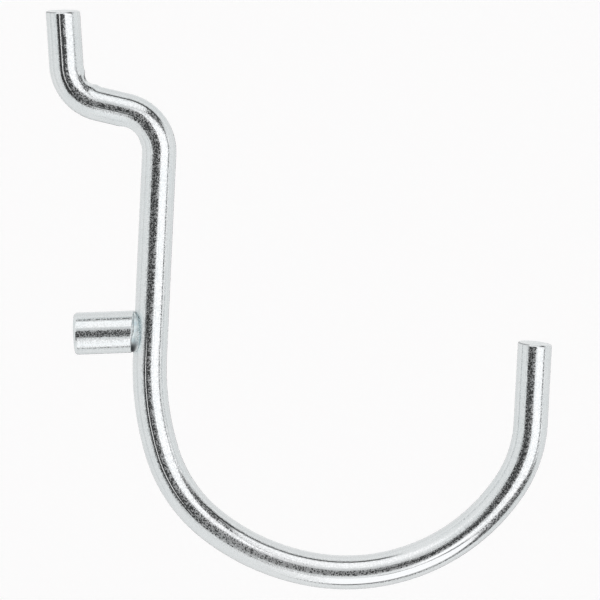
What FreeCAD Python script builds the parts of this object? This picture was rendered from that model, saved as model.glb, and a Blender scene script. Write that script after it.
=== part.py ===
import FreeCAD, Part
import math
import os

# A hook for perforated board: one bent steel wire and a thicker stub welded to its back.
# The origin is on the stub's axis in the plane of the board's front face, with +X away from the board,
# +Z up along the shank and the whole wire in the XZ plane. Millimetres and degrees.

# Stock and the board that it fits
wire_dia = 3.8
peg_dia = 4.7
hole_pitch = 25.4
prong_gap = 6.95

# Prong behind the board and jog through the upper hole
prong_length = 6.1
prong_lean = 6.15
jog_drop = 0.38
jog_slope = 10.3
jog_inside_radius = 2.77

# Mark that the forming pin presses into the inside of the bend below the prong
pin_radius = 1.0
pin_mark_depth = 0.42

# Hook, from the shank's foot to its tip: centreline radius and turn of each stretch of the bend
shank_below_peg = 2.72
hook_opening = 39.05
lead_in_radius = 32.1
lead_in_turn = 19.7
heel_radius = 16.4
heel_turn = 34.6
back_belly_radius = 24.8
back_belly_turn = 29.6
front_belly_turn = 65.9
nose_radius = 14.1
tip_length = 9.05

# Cropped ends of the wire
crop_angle = 2.7
crop_edge_radius = 0.22

# Stub and its weld
peg_reach = 6.66
peg_droop = 5.2
peg_edge_radius = 0.4
weld_gap = 0.25
weld_lean = -1.0
weld_rim_radius = 0.18
weld_setback = 0.3
weld_pinch = 1.05

# Sizes that follow from those above
wire_radius = wire_dia / 2
peg_radius = peg_dia / 2
jog_radius = jog_inside_radius + wire_radius
upper_turn = 90 - jog_slope
prong_turn = upper_turn - prong_lean
cos_lean = math.cos(math.radians(prong_lean))
cos_upper = math.cos(math.radians(upper_turn))
sin_upper = math.sin(math.radians(upper_turn))
jog_run = prong_gap + wire_radius / cos_lean + wire_radius
jog_straight = (jog_run - jog_radius * (1 + cos_lean - 2 * cos_upper)) / sin_upper
shank_top = hole_pitch - jog_drop - jog_radius * sin_upper - jog_straight / 2 * cos_upper

# Turn of the hook at the end of each stretch; the tip ends parallel to the shank
lead_in_end = lead_in_turn
heel_end = lead_in_end + heel_turn
back_belly_end = heel_end + back_belly_turn
front_belly_end = back_belly_end + front_belly_turn
nose_turn = 180 - front_belly_end


def reach(radius, turn_before, turn_after):
    """Distance along +X that the hook gains over one stretch of its bend."""
    return radius * (math.cos(math.radians(turn_before)) - math.cos(math.radians(turn_after)))


# The front of the belly is the stretch that brings the tip to the wanted opening
rest_of_reach = (
    reach(lead_in_radius, 0, lead_in_end)
    + reach(heel_radius, lead_in_end, heel_end)
    + reach(back_belly_radius, heel_end, back_belly_end)
    + reach(nose_radius, front_belly_end, 180)
)
front_belly_radius = (hook_opening + wire_dia - rest_of_reach) / reach(1, back_belly_end, front_belly_end)


def direction(heading):
    """Unit vector in the XZ plane, turned from +X towards +Z."""
    return FreeCAD.Vector(math.cos(math.radians(heading)), 0, math.sin(math.radians(heading)))


def straight(start, heading, length):
    """Straight stretch of wire and the point where it ends."""
    return Part.makeCylinder(wire_radius, length, start, direction(heading)), start + direction(heading) * length


def bend(start, heading, radius, turn):
    """Bent stretch of wire, a part of a torus, and the point where it ends."""
    side = math.copysign(1, turn)
    centre = start + direction(heading + 90 * side) * radius
    section = Part.Face(Part.Wire(Part.makeCircle(wire_radius, start, direction(heading))))
    solid = section.revolve(centre, FreeCAD.Vector(0, -side, 0), abs(turn))
    return solid, centre + direction(heading + turn - 90 * side) * radius


def form_wire(start, heading, bends, last_straight):
    """Stretches of wire in forming order: each bend is (straight run before it, radius, turn).

    Gives the stretches, the middle of the cropped end and the heading there. The last stretch runs on past
    that middle, for the crop to cut.
    """
    stretches = []
    position = start
    for run, radius, turn in bends:
        if run > 0:
            solid, position = straight(position, heading, run)
            stretches.append(solid)
        solid, position = bend(position, heading, radius, turn)
        stretches.append(solid)
        heading += turn
    stretches.append(straight(position, heading, last_straight + wire_radius)[0])
    return stretches, position + direction(heading) * last_straight, heading


def planar_end(solid, middle):
    """Flat face of a solid that lies at the middle of a cropped end."""
    return min(
        (face for face in solid.Faces if isinstance(face.Surface, Part.Plane)),
        key=lambda face: face.CenterOfMass.distanceToPoint(middle),
    )


def crop(solid, middle, heading):
    """Shear a wire's end square but for the crop angle, then round its edge."""
    shear = Part.makeCylinder(2 * wire_dia, 2 * wire_dia, middle, direction(heading - crop_angle))
    cropped = solid.cut(shear)
    return cropped.makeFillet(crop_edge_radius, planar_end(cropped, middle).Edges)


# Hook wire, from the shank upwards to the prong and downwards to the tip
shank_foot = FreeCAD.Vector(wire_radius, 0, -shank_below_peg)
upper_bends = [
    (shank_below_peg + shank_top, jog_radius, upper_turn),
    (jog_straight, jog_radius, -prong_turn),
]
hook_bends = [
    (0, lead_in_radius, lead_in_turn),
    (0, heel_radius, heel_turn),
    (0, back_belly_radius, back_belly_turn),
    (0, front_belly_radius, front_belly_turn),
    (0, nose_radius, nose_turn),
]
upper_stretches, prong_end, prong_heading = form_wire(shank_foot, 90, upper_bends, prong_length)
hook_stretches, tip_end, tip_heading = form_wire(shank_foot, -90, hook_bends, tip_length)
hook_wire = upper_stretches[0].multiFuse(upper_stretches[1:] + hook_stretches).removeSplitter()
front_bend_centre = FreeCAD.Vector(wire_radius - jog_radius, 0, shank_top)
jog_offset = direction(upper_turn) * (2 * jog_radius) + direction(upper_turn + 90) * jog_straight
rear_bend_middle = direction(180 + upper_turn - prong_turn / 2)
pin_distance = jog_inside_radius + pin_mark_depth - pin_radius
pin_middle = front_bend_centre + jog_offset + rear_bend_middle * pin_distance
across = FreeCAD.Vector(0, wire_dia, 0)
forming_pin = Part.makeCylinder(pin_radius, 2 * wire_dia, pin_middle - across, across)
hook_wire = hook_wire.cut(forming_pin)
hook_wire = crop(hook_wire, prong_end, prong_heading)
hook_wire = crop(hook_wire, tip_end, tip_heading).Solids[0]

# Stub: a drooping cylinder with a rounded nose, cropped at a lean that leaves a crease beside the shank
peg_heading = 180 + peg_droop
peg_length = peg_reach / math.cos(math.radians(peg_droop))
stub = Part.makeCylinder(peg_radius, peg_length + peg_dia, direction(peg_heading) * -peg_dia, direction(peg_heading))
stub = stub.makeFillet(peg_edge_radius, planar_end(stub, direction(peg_heading) * peg_length).Edges)
weld_plane = FreeCAD.Vector(-weld_gap, 0, 0)
stub = stub.cut(Part.makeCylinder(2 * peg_dia, 3 * peg_dia, weld_plane, direction(weld_lean)))
stub = stub.makeFillet(weld_rim_radius, planar_end(stub, weld_plane).Edges)

# Weld metal: an oval neck that fills the wedge between the stub's end and the shank, set back from the stub's rim
neck_root = FreeCAD.Vector(-peg_radius / 2, 0, 0)
neck_top = neck_root + FreeCAD.Vector(0, 0, peg_radius - weld_setback)
neck_side = neck_root + FreeCAD.Vector(0, peg_radius - weld_pinch, 0)
neck_section = Part.Face(Part.Wire(Part.Ellipse(neck_top, neck_side, neck_root).toShape()))
neck = neck_section.extrude(direction(0) * (peg_radius / 2 + wire_radius))
locating_peg = stub.fuse(neck).cut(hook_wire).removeSplitter()
locating_peg = max(locating_peg.Solids, key=lambda solid: solid.Volume)

os.makedirs("parts", exist_ok=True)
hook_wire.exportStep("parts/hook_wire.step")
locating_peg.exportStep("parts/locating_peg.step")
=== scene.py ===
import bpy
import numpy as np
from mathutils import Matrix


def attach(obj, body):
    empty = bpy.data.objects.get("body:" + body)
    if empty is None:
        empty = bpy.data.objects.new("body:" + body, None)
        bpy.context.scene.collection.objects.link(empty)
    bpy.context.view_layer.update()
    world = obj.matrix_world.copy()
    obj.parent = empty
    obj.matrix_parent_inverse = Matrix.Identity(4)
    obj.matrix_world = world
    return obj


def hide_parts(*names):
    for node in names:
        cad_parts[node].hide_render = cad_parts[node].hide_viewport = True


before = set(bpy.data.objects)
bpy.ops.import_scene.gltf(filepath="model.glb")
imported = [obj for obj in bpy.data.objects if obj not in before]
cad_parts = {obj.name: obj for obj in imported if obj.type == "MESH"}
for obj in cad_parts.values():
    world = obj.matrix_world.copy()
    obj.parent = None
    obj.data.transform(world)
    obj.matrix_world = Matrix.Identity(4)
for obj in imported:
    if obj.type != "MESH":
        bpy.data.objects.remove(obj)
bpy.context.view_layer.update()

# Hook wire: one length of drawn steel wire, cropped at both ends, bent cold over forming pins and then
# zinc plated bright. Its prong hangs behind the board, its jog passes through the upper hole, its shank
# lies on the board's face and its wide U carries the load.
MM = 0.001
wire_radius = 1.9 * MM
foot_below_peg = 2.72 * MM
shank_foot = np.array([wire_radius, -foot_below_peg])
prong_heading = np.radians(-83.85)
straight_run = np.array([6.1, 0, 3.169, 0, 22.862, 0, 0, 0, 0, 0, 9.05]) * MM
bend_radius = np.array([0, 4.67, 0, 4.67, 0, 32.1, 16.4, 24.8, 21.999, 14.1, 0]) * MM
bend_turn = np.radians([0, 73.55, 0, -79.7, 0, 19.7, 34.6, 29.6, 65.9, 30.2, 0])
rear_bend = 1
front_bend = 3
shank = 4
stretch_end = np.concatenate(([0], np.cumsum(straight_run + bend_radius * np.abs(bend_turn))))
stretch_heading = prong_heading + np.concatenate(([0], np.cumsum(bend_turn)))
wire_length = stretch_end[-1]
foot_along = stretch_end[shank + 1]
line_ticks = 20001
wire_columns = 96
wire_rings = 760
face_rings = 9
edge_rings = 6

# Cropped ends: the crop's lean, and the parts of the rim with a painted dark reflection, picked by how far
# they face +X
crop_slope = np.tan(np.radians(2.7))
crop_fade = 2.5 * MM
crop_edge = 0.22 * MM
face_inset = 0.8 * crop_edge
rim_width = 0.6 * crop_edge
rim_reflection_left_limit = -0.30
rim_reflection_left_fade = 0.1
rim_reflection_left_share = 0.55
rim_reflection_right_middle = 0.46
rim_reflection_right_width = 0.12
rim_reflection_right_share = 0.9

# Waves that the drawing die leaves: length, winds round the wire and phase of each
draw_depth = 0.004 * MM
draw_waves = ((5.3 * MM, 1, 0.0), (3.1 * MM, -2, 1.3), (8.7 * MM, 3, 2.1))

# Marks of the forming pins: bend, share of its turn, pin's radius, depth, lip's height and edge's softness
pin_presses = (
    (rear_bend, 0.5, 1.0 * MM, 0.42 * MM, 0.06 * MM, 0.04 * MM),
    (front_bend, 0.25, 2.0 * MM, 0.18 * MM, 0.03 * MM, 0.05 * MM),
)


def wire_line(along):
    """Place and heading of the wire's centreline in the XZ plane at each distance along it.

    The heading turns evenly along each bend and stays still on each straight. The place is the running sum
    of the heading's cosine and sine, moved so that the shank's foot is where it belongs.
    """
    ticks = np.linspace(-wire_radius, wire_length + wire_radius, line_ticks)
    turned = np.interp(ticks, stretch_end, stretch_heading)
    steps = np.diff(ticks)
    middle = (turned[1:] + turned[:-1]) / 2
    across = np.concatenate(([0], np.cumsum(np.cos(middle) * steps)))
    upward = np.concatenate(([0], np.cumsum(np.sin(middle) * steps)))
    across += shank_foot[0] - np.interp(foot_along, ticks, across)
    upward += shank_foot[1] - np.interp(foot_along, ticks, upward)
    heading = np.interp(along, ticks, turned)
    return np.interp(along, ticks, across), np.interp(along, ticks, upward), heading


def bend_middle(stretch, share):
    """Centre of a bend and the direction from it to the wire, at a share of the bend's turn."""
    side = np.sign(bend_turn[stretch])
    across, upward, heading = wire_line(stretch_end[stretch])
    inward = heading + side * np.pi / 2
    centre = np.array([across, upward]) + bend_radius[stretch] * np.array([np.cos(inward), np.sin(inward)])
    outward = inward + np.pi + share * bend_turn[stretch]
    return centre, np.array([np.cos(outward), np.sin(outward)])


def end_profile(edge, radius):
    """Depth and radius of an end face's rings: even steps out from its middle, then a quarter circle."""
    face = np.linspace(0, 1, face_rings) * (radius - edge)
    quarter = np.linspace(0, np.pi / 2, edge_rings + 1)[1:]
    depth = np.concatenate((np.zeros(face_rings), edge * (1 - np.cos(quarter))))
    return depth, np.concatenate((face, radius - edge + edge * np.sin(quarter)))


def press_pin(place, bend, share, pin_radius, depth, lip, softness):
    """Press a forming pin, a cylinder along Y, into the inside of a bend.

    Each point's distance from the pin's axis becomes the soft maximum of itself and the pin's radius,
    less a raised lip that fades as a bell curve beyond the pin.
    """
    centre, outward = bend_middle(bend, share)
    axis = centre + outward * (bend_radius[bend] - wire_radius + depth - pin_radius)
    offset = place[..., [0, 2]] - axis
    distance = np.linalg.norm(offset, axis=-1)
    lip_width = 3 * lip
    pressed = pin_radius + softness * np.logaddexp(0, (distance - pin_radius) / softness)
    pressed -= lip * np.exp(-(((distance - pin_radius - lip_width) / lip_width) ** 2))
    place[..., [0, 2]] = axis + offset * (pressed / distance)[..., None]


def closed_rings(name, place, lay):
    """Mesh of a closed skin over rings of points: quads between rings, and a fan at each end.

    place is a grid of points, ring by column, whose first and last ring are each one point. lay gives the
    turn round and the distance along the skin, with the seam's column twice, and becomes its UV map.
    """
    rings, columns = place.shape[:2]
    points = np.concatenate((place[:1, 0], place[1:-1].reshape(-1, 3), place[-1:, 0]))
    last = len(points) - 1
    this = np.arange(columns)
    following = (this + 1) % columns
    ring = 1 + np.arange(rings - 3)[:, None] * columns
    next_ring = ring + columns
    quads = np.stack((ring + this, ring + following, next_ring + following, next_ring + this), -1)
    foot = last - columns
    first_fan = np.stack((np.zeros(columns, int), 1 + following, 1 + this), -1)
    last_fan = np.stack((np.full(columns, last), foot + this, foot + following), -1)
    corners = np.concatenate((first_fan.ravel(), last_fan.ravel(), quads.ravel()))
    sizes = np.concatenate((np.full(2 * columns, 3), np.full(quads.size // 4, 4)))
    quad_lay = np.stack((lay[1:-2, :-1], lay[1:-2, 1:], lay[2:-1, 1:], lay[2:-1, :-1]), 2)
    first_lay = np.stack((lay[0, :-1], lay[1, 1:], lay[1, :-1]), 1)
    last_lay = np.stack((lay[-1, :-1], lay[-2, :-1], lay[-2, 1:]), 1)
    mesh = bpy.data.meshes.new(name)
    mesh.vertices.add(len(points))
    mesh.vertices.foreach_set("co", points.ravel())
    mesh.loops.add(len(corners))
    mesh.loops.foreach_set("vertex_index", corners)
    mesh.polygons.add(len(sizes))
    mesh.polygons.foreach_set("loop_start", np.concatenate(([0], np.cumsum(sizes)[:-1])))
    mesh.polygons.foreach_set("loop_total", sizes)
    mesh.polygons.foreach_set("use_smooth", np.ones(len(sizes), bool))
    layer = mesh.uv_layers.new(name="lay")
    layer.uv.foreach_set("vector", np.concatenate((first_lay.ravel(), last_lay.ravel(), quad_lay.ravel())))
    mesh.update()
    mesh.validate()
    piece = bpy.data.objects.new(name, mesh)
    bpy.context.scene.collection.objects.link(piece)
    return piece


def point_values(piece, name, grid):
    """Attribute of a closed skin from a grid of values, ring by column, one value at each end."""
    values = np.concatenate((grid[0, :1], grid[1:-1].ravel(), grid[-1, :1]))
    attribute = piece.data.attributes.new(name=name, type="FLOAT", domain="POINT")
    attribute.data.foreach_set("value", values)


def drawn_wave(turn, along):
    """Slight unevenness of drawn wire, from 0.2 to 1: the mean of slow waves that wind round the wire."""
    waves = sum(
        np.sin(2 * np.pi * (along / length + winds * turn) + phase) for length, winds, phase in draw_waves
    )
    return 0.6 + 0.4 * waves / len(draw_waves)


def wire_skin(columns, body_rings):
    """Points, lay, end face mask and painted rim reflection mask of the wire's surface, ring by column.

    A circle is carried along the centreline, a hair thinner where the drawn wire waves. Near each end the
    rings lean until they lie in the slanted crop, and the end's profile closes them over the rounded edge
    to the middle of the face.
    """
    depth, radius = end_profile(crop_edge, wire_radius)
    body = np.linspace(crop_edge, wire_length - crop_edge, body_rings)[1:-1]
    along = np.concatenate((depth, body, wire_length - depth[::-1]))[:, None]
    radius = np.concatenate((radius, np.full(len(body), wire_radius), radius[::-1]))[:, None]
    turn = np.linspace(0, 1, columns + 1)
    round_angle = 2 * np.pi * turn
    from_end = np.minimum(along, wire_length - along)
    lean = np.clip(1 - from_end / crop_fade, 0, 1)
    lean = lean * lean * (3 - 2 * lean)
    waved = radius - draw_depth * drawn_wave(turn, along) * radius / wire_radius
    lay = np.stack(np.broadcast_arrays(turn, along), -1)
    sheared = np.repeat((radius < wire_radius - face_inset).astype(float), columns, axis=1)
    along = along + crop_slope * lean * radius * np.cos(round_angle)
    across, upward, heading = wire_line(along)
    rim = (radius > wire_radius - rim_width) * (from_end < rim_width)
    rightward = -np.cos(round_angle) * np.sin(heading)
    # Painted dark reflection: the front half of the rim is darkened where it faces left, and in a band
    # where it faces partly right
    rim_reflection_left = rim_reflection_left_share * np.clip((rim_reflection_left_limit - rightward) / rim_reflection_left_fade, 0, 1)
    rim_reflection_right = rim_reflection_right_share * np.exp(-(((rightward - rim_reflection_right_middle) / rim_reflection_right_width) ** 2))
    rim_reflection = rim * (np.sin(round_angle) > 0) * (rim_reflection_left + rim_reflection_right)
    inward = waved * np.cos(round_angle)
    place = np.stack(
        (
            across - inward * np.sin(heading),
            -waved * np.sin(round_angle),
            upward + inward * np.cos(heading),
        ),
        -1,
    )
    return place[:, :-1], lay, sheared, rim_reflection[:, :-1]


wire_place, wire_lay, sheared_mask, rim_reflection_mask = wire_skin(wire_columns, wire_rings)
for pin_press in pin_presses:
    press_pin(wire_place, *pin_press)
hook_wire = closed_rings("hook_wire_skin", wire_place, wire_lay)
point_values(hook_wire, "sheared", sheared_mask)
point_values(hook_wire, "rim_reflection", rim_reflection_mask)


def place_node(tree, kind, options, inputs):
    """Add a shader node, set its options, and put a value or a link on each input, by name or number."""
    made = tree.nodes.new(kind)
    for name, value in options.items():
        setattr(made, name, value)
    for name, value in inputs.items():
        if isinstance(value, bpy.types.NodeSocket):
            tree.links.new(value, made.inputs[name])
        else:
            made.inputs[name].default_value = value
    return made


def worked_out(tree, operation, *terms):
    """Output of a Math node on the given values or links."""
    return place_node(tree, "ShaderNodeMath", {"operation": operation}, dict(enumerate(terms))).outputs[0]


def product(tree, first, *others):
    """Values or links multiplied together."""
    for other in others:
        first = worked_out(tree, "MULTIPLY", first, other)
    return first


def largest(tree, first, *others):
    """The greatest of several values or links at each point."""
    for other in others:
        first = worked_out(tree, "MAXIMUM", first, other)
    return first


def slanted(tree, value, slope, other):
    """One value plus a slope times another: other + slope x value."""
    return worked_out(tree, "MULTIPLY_ADD", value, slope, other)


def ramp(tree, value, low, high, start=0.0, end=1.0):
    """A value eased from start at low to end at high."""
    limits = {"Value": value, "From Min": low, "From Max": high, "To Min": start, "To Max": end}
    return place_node(tree, "ShaderNodeMapRange", {"interpolation_type": "SMOOTHSTEP"}, limits).outputs[0]


def between(tree, value, low, high, soft):
    """Mask that is 1 between two limits, with soft edges."""
    rise = ramp(tree, value, low - soft, low + soft)
    fall = ramp(tree, value, high - soft, high + soft, 1.0, 0.0)
    return product(tree, rise, fall)


def mix_value(tree, share, first, second):
    """Value mixed from first to second by a share."""
    made = place_node(tree, "ShaderNodeMix", {"data_type": "FLOAT"}, {0: share, 2: first, 3: second})
    return made.outputs[0]


def blend_colour(tree, share, first, second):
    """Colour mixed from first to second by a share."""
    made = place_node(tree, "ShaderNodeMix", {"data_type": "RGBA"}, {0: share, 6: first, 7: second})
    return made.outputs[2]


def noise(tree, vector, scale, detail):
    """Output of a Noise Texture node, about 0.5 in the mean."""
    inputs = {"Vector": vector, "Scale": scale, "Detail": detail}
    return place_node(tree, "ShaderNodeTexNoise", {}, inputs).outputs[0]


def point_mask(tree, name):
    """Value of a piece's own attribute."""
    return place_node(tree, "ShaderNodeAttribute", {"attribute_name": name}, {}).outputs["Fac"]


def lay_of(tree):
    """Turn round a skin and distance along it, from its UV map."""
    lay_map = place_node(tree, "ShaderNodeUVMap", {"uv_map": "lay"}, {}).outputs[0]
    return place_node(tree, "ShaderNodeSeparateXYZ", {}, {0: lay_map}).outputs


# Zinc plating, as a group: fine bright grain over drawn wire, lines from the drawing die and a cloudy tone
die_round = 16.0
die_along = 25.0
grain_scale = 6400.0
frost_scale = 6000.0
ripple_scale = 1300.0
cloud_scale = 330.0
polished_limits = (0.60, 0.68)
frosted_limits = (0.49, 0.525)
burnished_frost = 0.05
cloud_share = 0.4
die_share = 0.6
burnished_tone = -0.7
sheared_pale = (0.88, 0.89, 0.89, 1)
sheared_cool = (0.72, 0.75, 0.76, 1)
sheared_roughness = 0.5
ripple_height = 1.4
grain_height = 1.4
burnished_height = 0.6
zinc_plate = bpy.data.node_groups.new("zinc_plate", "ShaderNodeTree")
for socket_name, socket_kind in (
    ("Place", "NodeSocketVector"),
    ("Lay", "NodeSocketVector"),
    ("Pale Tone", "NodeSocketColor"),
    ("Cool Tone", "NodeSocketColor"),
    ("Smooth", "NodeSocketFloat"),
    ("Frosted", "NodeSocketFloat"),
    ("Sheared", "NodeSocketFloat"),
    ("Burnish", "NodeSocketFloat"),
    ("Polish", "NodeSocketFloat"),
):
    zinc_plate.interface.new_socket(socket_name, in_out="INPUT", socket_type=socket_kind)
for socket_name, socket_kind in (
    ("Colour", "NodeSocketColor"),
    ("Roughness", "NodeSocketFloat"),
    ("Height", "NodeSocketFloat"),
):
    zinc_plate.interface.new_socket(socket_name, in_out="OUTPUT", socket_type=socket_kind)
given = zinc_plate.nodes.new("NodeGroupInput").outputs
given_lay = place_node(zinc_plate, "ShaderNodeSeparateXYZ", {}, {0: given["Lay"]}).outputs
lay_angle = product(zinc_plate, given_lay[0], 2 * np.pi)
die_vector = place_node(
    zinc_plate,
    "ShaderNodeCombineXYZ",
    {},
    {
        0: product(zinc_plate, worked_out(zinc_plate, "COSINE", lay_angle), die_round),
        1: product(zinc_plate, worked_out(zinc_plate, "SINE", lay_angle), die_round),
        2: product(zinc_plate, given_lay[1], die_along),
    },
).outputs[0]
die_line = mix_value(zinc_plate, given["Sheared"], noise(zinc_plate, die_vector, 1.0, 2.0), 0.5)
grain = noise(zinc_plate, given["Place"], grain_scale, 1.0)
frost = noise(zinc_plate, given["Place"], frost_scale, 1.5)
ripple = noise(zinc_plate, given["Place"], ripple_scale, 1.0)
cloud = noise(zinc_plate, given["Place"], cloud_scale, 3.0)
polished = largest(zinc_plate, ramp(zinc_plate, die_line, *polished_limits), given["Polish"])
dull = worked_out(zinc_plate, "SUBTRACT", 1.0, polished)
grown = slanted(zinc_plate, given["Burnish"], burnished_frost, frost)
frosted = product(zinc_plate, ramp(zinc_plate, grown, *frosted_limits), dull)
cloud_tone = ramp(zinc_plate, cloud, 0.3, 0.7, 0.0, cloud_share)
die_tone = ramp(zinc_plate, die_line, 0.36, 0.64, 0.0, die_share)
unburnished = slanted(zinc_plate, given["Burnish"], burnished_tone, 1.0)
tone_share = product(zinc_plate, worked_out(zinc_plate, "ADD", cloud_tone, die_tone), unburnished)
tone = blend_colour(zinc_plate, tone_share, given["Pale Tone"], given["Cool Tone"])
sheared_tone = blend_colour(zinc_plate, ramp(zinc_plate, frost, 0.4, 0.6), sheared_pale, sheared_cool)
tone = blend_colour(zinc_plate, given["Sheared"], tone, sheared_tone)
roughness = mix_value(zinc_plate, frosted, given["Smooth"], given["Frosted"])
roughness = mix_value(zinc_plate, given["Sheared"], roughness, sheared_roughness)
worn_height = mix_value(zinc_plate, given["Burnish"], grain_height, burnished_height)
grain_weight = product(zinc_plate, dull, worn_height)
height = slanted(zinc_plate, ripple, ripple_height, die_line)
height = slanted(zinc_plate, grain, grain_weight, height)
given_back = zinc_plate.nodes.new("NodeGroupOutput").inputs
zinc_plate.links.new(tone, given_back["Colour"])
zinc_plate.links.new(roughness, given_back["Roughness"])
zinc_plate.links.new(height, given_back["Height"])

# Finish that both wires have from the plating bath
zinc_pale = (0.742, 0.760, 0.766, 1)
zinc_cool = (0.677, 0.718, 0.728, 1)
zinc_smooth = 0.07
zinc_frosted = 0.35
grain_depth = 0.0038 * MM


def plated(name, pale, cool, smooth_roughness, frosted_roughness):
    """Material of bright zinc: the material, its tree and the plating group placed with its own values."""
    material = bpy.data.materials.new(name)
    material.use_nodes = True
    tree = material.node_tree
    values = {
        "Place": tree.nodes.new("ShaderNodeTexCoord").outputs["Object"],
        "Lay": place_node(tree, "ShaderNodeUVMap", {"uv_map": "lay"}, {}).outputs[0],
        "Pale Tone": pale,
        "Cool Tone": cool,
        "Smooth": smooth_roughness,
        "Frosted": frosted_roughness,
        "Sheared": point_mask(tree, "sheared"),
    }
    return material, tree, place_node(tree, "ShaderNodeGroup", {"node_tree": zinc_plate}, values)


def dress(piece, material, tone, roughness, height):
    """Give a piece its material, with tone, roughness and the grain's height led to the metal's shader."""
    tree = material.node_tree
    shader = tree.nodes["Principled BSDF"]
    shader.inputs["Metallic"].default_value = 1.0
    relief = place_node(tree, "ShaderNodeBump", {}, {"Distance": grain_depth, "Height": height})
    tree.links.new(tone, shader.inputs["Base Color"])
    tree.links.new(roughness, shader.inputs["Roughness"])
    tree.links.new(relief.outputs["Normal"], shader.inputs["Normal"])
    piece.data.materials.append(material)


# Lines that the tools polished or scuffed: middle turn, width in turns, first and last distance in mm
polished_lines = (
    (0.2870, 0.016, -2, 9),
    (0.2530, 0.010, -2, 7),
    (0.1195, 0.014, 11, 20),
    (0.2620, 0.006, 9, 18),
    (0.2870, 0.010, 42, 63),
    (0.2700, 0.006, 43, 62),
    (0.2920, 0.005, 75, 85),
    (0.1210, 0.014, 64, 93),
    (0.3120, 0.090, 80, 97),
    (0.2320, 0.006, 86, 98),
    (0.2640, 0.004, 85, 101),
)
scuffed_lines = (
    (0.2720, 0.007, -2, 8),
    (0.2785, 0.006, 43, 61),
)
line_soft_turn = 0.003
line_soft_run = 2 * MM
scuffed_tone = (0.95, 0.96, 0.96, 1)
scuffed_roughness = 0.85
# Near-black tone of the painted dark reflection on the cropped rim
rim_reflection_tone = (0.10, 0.10, 0.10, 1)

# Belly that the forming rolls burnished, and the shank's back that the weld heated
belly_runs = (66 * MM, 96 * MM)
belly_soft = 8 * MM
peg_along = foot_along - foot_below_peg
heat_turns = (0.335, 0.58)
heat_runs = (peg_along - 2.2 * MM, peg_along + 1.9 * MM)
heat_soft_turn = 0.02
heat_soft_run = 0.8 * MM
heat_share = 0.75
heat_tone = (0.60, 0.70, 0.725, 1)


def stripe(tree, lay, turns, runs, soft_turn, soft_run):
    """Mask of a stripe between two turns round the wire and two distances along it, with soft edges."""
    return product(tree, between(tree, lay[0], *turns, soft_turn), between(tree, lay[1], *runs, soft_run))


def line_mask(tree, lay, lines):
    """Mask of several fine lines, the greatest of their stripes at each point."""
    masks = []
    for turn, width, first, last in lines:
        turns = (turn - width / 2, turn + width / 2)
        runs = (first * MM, last * MM)
        masks.append(stripe(tree, lay, turns, runs, line_soft_turn, line_soft_run))
    return largest(tree, *masks)


zinc_wire, tree, plate = plated("zinc_wire", zinc_pale, zinc_cool, zinc_smooth, zinc_frosted)
lay_parts = lay_of(tree)
tree.links.new(line_mask(tree, lay_parts, polished_lines), plate.inputs["Polish"])
tree.links.new(between(tree, lay_parts[1], *belly_runs, belly_soft), plate.inputs["Burnish"])
scuffed = line_mask(tree, lay_parts, scuffed_lines)
heated = stripe(tree, lay_parts, heat_turns, heat_runs, heat_soft_turn, heat_soft_run)
tone = blend_colour(tree, product(tree, heated, heat_share), plate.outputs["Colour"], heat_tone)
# Painted dark reflection on the cropped rim
tone = blend_colour(tree, point_mask(tree, "rim_reflection"), tone, rim_reflection_tone)
tone = blend_colour(tree, scuffed, tone, scuffed_tone)
roughness = mix_value(tree, scuffed, plate.outputs["Roughness"], scuffed_roughness)
dress(hook_wire, zinc_wire, tone, roughness, plate.outputs["Height"])
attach(hook_wire, "root")
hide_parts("hook_wire")

# Locating peg: a stub of thicker wire, cropped at both ends and butt welded to the back of the shank with
# a slight droop. The weld has squeezed out between the stub's rim and the wire and runs a little way round
# the wire.
peg_radius = 2.348 * MM
peg_droop = np.radians(5.2)
peg_length = 6.66 * MM / np.cos(peg_droop)
peg_edge = 0.4 * MM
peg_columns = 128
peg_rings = 89

# Rim of the stub at the weld and the face inside it
rim_edge = 0.10 * MM
rim_middle = 0.12 * MM
rim_lean = 0.24 * MM
rim_bow = 0.03 * MM
face_steps = np.array([0.35, 0.7, 1.0])
face_dip = 0.05 * MM

# Weld: a squarish, lumpy neck that bulges underneath, and its spread over the wire
neck_height = 2.08 * MM
neck_width = 0.95 * MM
neck_square = 4
neck_lumps = ((0.02, 3, 0.7), (0.015, 7, 2.0))
neck_bulge = 0.20 * MM
bulge_turns = 0.09
weld_rings = 25
weld_spread = 1.7
weld_reach = 0.86 * wire_radius
weld_flare = 1.03
weld_slope = 0.6
weld_sink = 0.03 * MM
sink_steps = np.array([0.2, 0.6, 1.0])

# Painted shade in the crease above the weld and in the notch under it: middle and width in turns, depth in
# shares
crease_middle = 0.06
crease_width = 0.06
crease_depth = 0.09
crease_painted_shade = 0.8
notch_middle = 0.46
notch_width = 0.075
notch_depth = 0.55
face_painted_shade = 0.15
weld_painted_shade = 0.1


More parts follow.
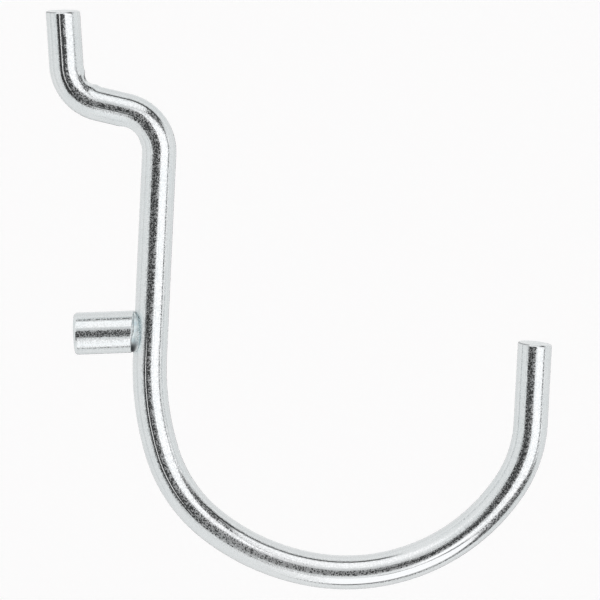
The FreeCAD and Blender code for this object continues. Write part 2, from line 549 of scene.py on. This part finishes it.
def peg_skin(columns):
    """Points, lay and masks of the stub and its weld, ring by column from the nose to the weld.

    Body rings are circles about the drooping axis, from the nose's profile to the leaning, bowed rim.
    From there a cubic curve for each column leaves the squarish neck at a slope and ends a hair inside
    the wire, along the wire's own surface, and the last rings sink into the wire and close. The masks are
    of the weld, its painted shade in the crease and notch, and the sheared nose.
    """
    turn = np.linspace(0, 1, columns + 1)
    round_angle = 2 * np.pi * turn
    cosine = np.cos(round_angle)
    sine = np.sin(round_angle)
    none = np.zeros(columns + 1)
    rim = rim_middle - rim_lean * cosine + rim_bow * sine**2
    depth, radius = end_profile(peg_edge, peg_radius)
    nose_out = np.broadcast_to((peg_length - depth)[:, None], (len(depth), columns + 1))
    nose_radius = np.broadcast_to(radius[:, None], nose_out.shape)
    share = np.linspace(0, 1, peg_rings + 1)[1:, None]
    body_out = (peg_length - peg_edge) * (1 - share) + (rim + rim_edge) * share
    quarter = np.linspace(0, np.pi / 2, edge_rings + 1)[1:, None]
    rim_out = rim + rim_edge * (1 - np.sin(quarter))
    rim_radius = peg_radius - rim_edge * (1 - np.cos(quarter)) + none
    lump = 1 + sum(height * np.sin(count * round_angle + phase) for height, count, phase in neck_lumps)
    underside = np.exp(-(((turn - 0.5) / bulge_turns) ** 4))
    squared = np.abs(cosine / neck_height) ** neck_square + np.abs(sine / neck_width) ** neck_square
    neck = lump * squared ** (-1 / neck_square) + neck_bulge * underside
    step = face_steps[:, None]
    face_radius = (peg_radius - rim_edge) * (1 - step) + neck * step
    face_out = rim + face_dip * step
    out = np.concatenate((nose_out, body_out, rim_out, face_out))
    body_radius = np.full(body_out.shape, peg_radius)
    ring_radius = np.concatenate((nose_radius, body_radius, rim_radius, face_radius))
    body_place = np.stack(
        (
            -out * np.cos(peg_droop) - ring_radius * cosine * np.sin(peg_droop),
            -ring_radius * sine,
            -out * np.sin(peg_droop) + ring_radius * cosine * np.cos(peg_droop),
        ),
        -1,
    )
    start = body_place[-1]
    beside = np.clip(weld_spread * start[:, 1], -weld_reach, weld_reach)
    behind = np.sqrt(wire_radius**2 - beside**2)
    seat = 1 - weld_sink / wire_radius
    end = np.stack((wire_radius - behind * seat, beside * seat, weld_flare * start[:, 2]), -1)
    leave = np.stack((none + 1, -weld_slope * sine, none), -1)
    leave /= np.linalg.norm(leave, axis=-1)[:, None]
    along_wire = np.stack((np.abs(beside), np.sign(beside) * behind, none), -1) / wire_radius
    up_wire = np.stack((none, none, cosine), -1)
    arrive = along_wire * np.abs(sine)[:, None] + up_wire * np.abs(cosine)[:, None]
    span = np.linalg.norm(end - start, axis=-1)[:, None]
    t = np.linspace(0, 1, weld_rings + 1)[1:, None, None]
    weld_place = (
        (2 * t**3 - 3 * t**2 + 1) * start
        + (t**3 - 2 * t**2 + t) * span * leave
        + (3 * t**2 - 2 * t**3) * end
        + (t**3 - t**2) * span * arrive
    )
    heart = np.array([wire_radius, 0, 0])
    sunk = sink_steps[:, None, None]
    sunk_place = end * (1 - sunk) + heart * sunk
    place = np.concatenate((body_place, weld_place, sunk_place))
    steps = np.linalg.norm(np.diff(place, axis=0), axis=-1).mean(axis=1)
    along = np.concatenate(([0], np.cumsum(steps)))[:, None]
    lay = np.stack(np.broadcast_arrays(turn, along), -1)
    weld_first = len(body_place)
    face_first = weld_first - len(face_steps)
    weld_last = weld_first + weld_rings
    fade = t[..., 0]
    weld = np.zeros((len(place), columns + 1))
    weld[face_first:] = 1
    weld[weld_first:weld_last] = 1 - fade**2
    from_top = np.minimum(turn, 1 - turn)
    creased = np.exp(-(((from_top - crease_middle) / crease_width) ** 2))
    notched = np.exp(-(((from_top - notch_middle) / notch_width) ** 4))
    # Painted shade: darkening all round the weld's foot at the rim, strongest in the crease above and the
    # notch under it, and on the stub's face
    crease = (weld_painted_shade + crease_painted_shade * creased) * np.exp(-((fade / crease_depth) ** 2))
    notch = notched * np.exp(-((fade / notch_depth) ** 6))
    painted_shade = np.zeros((len(place), columns + 1))
    painted_shade[face_first:weld_first] = np.maximum(face_painted_shade, notched)
    painted_shade[weld_first:weld_last] = np.maximum(crease, notch)
    sheared = np.zeros((len(place), columns))
    sheared[:face_rings] = 1
    return place[:, :-1], lay, weld[:, :-1], painted_shade[:, :-1], sheared


peg_place, peg_lay, weld_mask, painted_shade_mask, nose_mask = peg_skin(peg_columns)
locating_peg = closed_rings("locating_peg_skin", peg_place, peg_lay)
point_values(locating_peg, "weld", weld_mask)
point_values(locating_peg, "painted_shade", painted_shade_mask)
point_values(locating_peg, "sheared", nose_mask)

# Weld's own finish over the zinc: pale, blotched and duller, with painted shade in its creases
blotch_scale = 1500.0
blotch_limits = (0.48, 0.62)
weld_pale = (0.94, 0.985, 0.99, 1)
weld_cool = (0.80, 0.88, 0.905, 1)
weld_roughness = 0.35
# Near-black tone of the painted shade in the weld's crease and notch
painted_shade_tone = (0.05, 0.055, 0.06, 1)
zinc_peg, tree, plate = plated("zinc_peg", zinc_pale, zinc_cool, zinc_smooth, zinc_frosted)
weld_share = point_mask(tree, "weld")
blotch = noise(tree, tree.nodes.new("ShaderNodeTexCoord").outputs["Object"], blotch_scale, 2.0)
weld_tone = blend_colour(tree, ramp(tree, blotch, *blotch_limits), weld_pale, weld_cool)
tone = blend_colour(tree, weld_share, plate.outputs["Colour"], weld_tone)
# Painted shade in the weld's crease and notch and on the stub's face
tone = blend_colour(tree, point_mask(tree, "painted_shade"), tone, painted_shade_tone)
roughness = mix_value(tree, weld_share, plate.outputs["Roughness"], weld_roughness)
dress(locating_peg, zinc_peg, tone, roughness, plate.outputs["Height"])
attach(locating_peg, "root")
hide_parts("locating_peg")

# Floor: a plain white sheet a little below the hanging hook, which takes its soft shadow.
# The camera sees it a shade lighter than it is lit, so that its open parts are white.
floor_level = -48 * MM
floor_half = 3.0
floor_tone = (0.88, 0.88, 0.88, 1)
floor_glow = 0.16
floor_mesh = bpy.data.meshes.new("floor")
floor_square = np.array([(-1, -1, 0), (1, -1, 0), (1, 1, 0), (-1, 1, 0)])
floor_corners = floor_square * floor_half + (0, 0, floor_level)
floor_mesh.from_pydata(floor_corners.tolist(), [], [(0, 1, 2, 3)])
floor = bpy.data.objects.new("floor", floor_mesh)
bpy.context.scene.collection.objects.link(floor)
floor_paint = bpy.data.materials.new("floor_paint")
floor_paint.use_nodes = True
tree = floor_paint.node_tree
shader = tree.nodes["Principled BSDF"]
shader.inputs["Base Color"].default_value = floor_tone
shader.inputs["Roughness"].default_value = 1.0
shader.inputs["Specular IOR Level"].default_value = 0.0
shader.inputs["Emission Color"].default_value = (1, 1, 1, 1)
seen = tree.nodes.new("ShaderNodeLightPath").outputs["Is Camera Ray"]
tree.links.new(product(tree, seen, floor_glow), shader.inputs["Emission Strength"])
floor_mesh.materials.append(floor_paint)
floor.visible_glossy = False

# Light: a pale tent all round, with three brighter panels before the hook, dark gaps between them, and
# dark openings at the front, for the camera, and at the back. To the camera the tent is plain white.
world = bpy.data.worlds.new("tent")
bpy.context.scene.world = world
world.use_nodes = True
tree = world.node_tree
tent = tree.nodes["Background"]


def angle(operation, *terms):
    """Angle in degrees from an inverse trigonometric operation of a Math node."""
    return worked_out(tree, "DEGREES", worked_out(tree, operation, *terms))


def pane(azimuths, heights, soft, amount, height):
    """Mask of a pane of the tent between two azimuths and two heights in degrees, times an amount."""
    across = between(tree, azimuth, *azimuths, soft)
    return product(tree, across, between(tree, height, *heights, soft), amount)


# Directions into the tent: azimuth from the front towards +X, elevation, and pitch round the X axis
looked = tree.nodes.new("ShaderNodeTexCoord").outputs["Generated"]
towards = place_node(tree, "ShaderNodeSeparateXYZ", {}, {0: looked}).outputs
frontward = product(tree, towards[1], -1.0)
azimuth = angle("ARCTAN2", towards[0], frontward)
away_azimuth = angle("ARCTAN2", towards[0], towards[1])
elevation = angle("ARCSINE", towards[2])
pitch = angle("ARCTAN2", towards[2], frontward)

# Bright panels on the right, above and below
panel_soft = 1.5
long_azimuths = (-52, 82)
long_light = 0.33
right_panel = pane((6, 67), (-29, 35), panel_soft, 0.44, elevation)
top_panel = pane(long_azimuths, (38, 77), panel_soft, long_light, pitch)
bottom_panel = pane(long_azimuths, (-77, -33), panel_soft, long_light, pitch)
bottom_panel = product(tree, bottom_panel, ramp(tree, towards[0], -0.24, -0.08))
panels = largest(tree, right_panel, top_panel, bottom_panel)

# Dark gaps between the right panel and those above and below it, ending towards the back
gap_end = ramp(tree, azimuth, 94, 98, 0.92, 0.0)
over_right = ramp(tree, slanted(tree, azimuth, 0.57, elevation), 54, 57.5)
beside_top = ramp(tree, slanted(tree, azimuth, -0.8, pitch), 19.5, 22.5, 1.0, 0.0)
beside_rear = ramp(tree, slanted(tree, elevation, -0.77, azimuth), 58, 61, 1.0, 0.0)
upper_gap = product(tree, over_right, beside_top, gap_end, beside_rear)
under_right = ramp(tree, slanted(tree, azimuth, -0.2, elevation), -43, -39.5, 1.0, 0.0)
beside_bottom = ramp(tree, worked_out(tree, "ADD", pitch, azimuth), -11, -6)
lower_gap = product(tree, under_right, beside_bottom, gap_end)

# Dark seams behind the panels above and below, cords along the right panel and posts at the sides
top_run = between(tree, towards[0], -0.38, 0.85, 0.08)
top_seam = product(tree, top_run, between(tree, pitch, 79, 89.5, 0.8), 0.85)
low_run = between(tree, towards[0], -0.17, 0.85, 0.1)
low_seam = product(tree, low_run, between(tree, pitch, -87, -80, 0.8), 0.8)
upper_cord = pane((4, 42), (33, 36), 0.5, 0.9, slanted(tree, azimuth, -0.15, elevation))
lower_cord = pane((4, 42), (-32.5, -29.5), 0.5, 0.9, slanted(tree, azimuth, 0.2, elevation))
right_post = pane((66, 75), (-30, 30), 0.8, 0.8, elevation)
left_post = pane((-96, -86), (-40, 40), 1.5, 0.2, elevation)

# Dark openings: the doorway on the left, the lens with the hood over it, and the one at the back, with the
# slight shade round that
doorway = pane((-41.5, -10), (-33, 13), 1.0, 0.945, elevation)
lens_corner = ramp(tree, slanted(tree, elevation, -1.6, azimuth), 23, 27, 1.0, 0.0)
lens = product(tree, lens_corner, pane((-14, 15.5), (-19.5, 20), 2.0, 0.93, elevation))
lens_hood = pane((-12, 14), (20, 34), 2.0, 0.22, elevation)
rear_width = between(tree, away_azimuth, -16, 16, 2.0)
rear_opening = product(tree, rear_width, between(tree, elevation, -28, 2, 2.0), 0.9)
rear_shade = product(tree, between(tree, towards[1], 0.45, 0.88, 0.1), 0.09)
openings = largest(tree, doorway, lens, lens_hood, rear_opening, rear_shade)
gaps = largest(tree, upper_gap, lower_gap, top_seam, low_seam, upper_cord, lower_cord)
dark = largest(tree, openings, gaps, right_post, left_post)

# Tent as the metal mirrors it, with the panels a touch warmer, and plain white as the camera sees it
white = (1, 1, 1, 1)
panel_tint = (1, 0.98, 0.985, 1)
tint_gain = 2.6
lit = product(tree, worked_out(tree, "ADD", panels, 1.0), worked_out(tree, "SUBTRACT", 1.0, dark))
tree.links.new(lit, tent.inputs["Strength"])
tint = blend_colour(tree, product(tree, panels, tint_gain), white, panel_tint)
tree.links.new(tint, tent.inputs["Color"])
plain_white = place_node(tree, "ShaderNodeBackground", {}, {"Color": white, "Strength": 1.0})
to_camera = tree.nodes.new("ShaderNodeLightPath").outputs["Is Camera Ray"]
shown = place_node(
    tree, "ShaderNodeMixShader", {}, {0: to_camera, 1: tent.outputs[0], 2: plain_white.outputs[0]}
)
tree.links.new(shown.outputs[0], tree.nodes["World Output"].inputs["Surface"])

# Camera: a long lens, a little above the hook and turned with it
photo_scale = 0.1115 * MM
photo_width = 600
sensor_width = 36
camera_distance = 700 * MM
camera_azimuth = np.radians(2.0)
camera_elevation = np.radians(7.5)
camera_roll = np.radians(2.766)
aim = np.array([18.35, 0, 4.53]) * MM
away = np.array([
    np.sin(camera_azimuth) * np.cos(camera_elevation),
    -np.cos(camera_azimuth) * np.cos(camera_elevation),
    np.sin(camera_elevation),
])
level = np.cross(-away, [0, 0, 1])
level /= np.linalg.norm(level)
upright = np.cross(level, -away)
right = np.cos(camera_roll) * level + np.sin(camera_roll) * upright
top = -np.sin(camera_roll) * level + np.cos(camera_roll) * upright
camera_data = bpy.data.cameras.new("camera")
camera_data.sensor_width = sensor_width
camera_data.lens = camera_distance / photo_scale * sensor_width / photo_width
camera = bpy.data.objects.new("camera", camera_data)
camera_place = np.eye(4)
camera_place[:3] = np.stack((right, top, away, aim + away * camera_distance), 1)
camera.matrix_world = Matrix(camera_place.tolist())
bpy.context.scene.collection.objects.link(camera)
bpy.context.scene.camera = camera
bpy.context.scene.view_settings.view_transform = "Standard"
